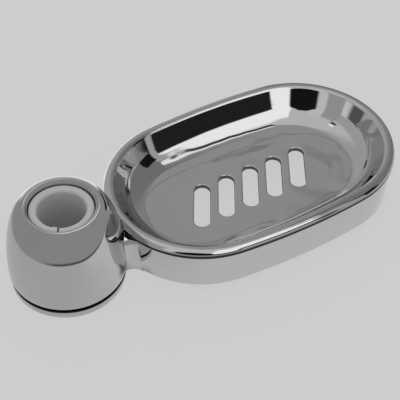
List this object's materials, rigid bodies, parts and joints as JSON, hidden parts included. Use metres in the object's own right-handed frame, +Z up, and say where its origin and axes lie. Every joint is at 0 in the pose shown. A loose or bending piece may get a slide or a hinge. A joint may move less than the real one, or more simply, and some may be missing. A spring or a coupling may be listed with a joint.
{
  "type": "shower rail soap holder",
  "caption": "Oval soap dish with slanted drain slots, on a domed collar whose split bush grips a round vertical shower rail.",
  "frame": {"origin": "on the axis of the rail that the collar holds, in the plane of the lock ring's flat underside", "axes": "+Z up along the rail, +X from the rail out along the length of the soap tray, +Y to the tray's left as seen from the rail"},
  "size_m": [0.1881, 0.0898, 0.043],
  "materials": {
    "holder_chrome": "bright chrome plate on moulded plastic",
    "tray_chrome": "bright chrome plate on moulded plastic",
    "ring_chrome": "bright chrome plate on moulded plastic",
    "bush_plastic": "translucent grey-white moulded plastic",
    "washer_plastic": "natural white plastic"
  },
  "bodies": {
    "holder": {"holder_body": "holder_chrome"},
    "tray": {"soap_tray": "tray_chrome"},
    "ring": {"lock_ring": "ring_chrome", "slip_washer": "washer_plastic"},
    "bush": {"rail_bush": "bush_plastic"}
  },
  "joints": [
    {"name": "tray_lift", "type": "slide", "parent": "holder", "child": "tray", "axis": [0, 0, 1], "range_m": [0, 0.03]},
    {"name": "ring_twist", "type": "hinge", "parent": "holder", "child": "ring", "pos_m": [0, 0, 0], "axis": [0, 0, 1], "range_deg": [0, 90]},
    {"name": "bush_draw", "type": "slide", "parent": "holder", "child": "bush", "axis": [0, 0, 1], "range_m": [-0.0015, 0]}
  ],
  "couplings": [
    {"joint": "bush_draw", "follows": "ring_twist", "m_per_rad": -0.000954}
  ]
}
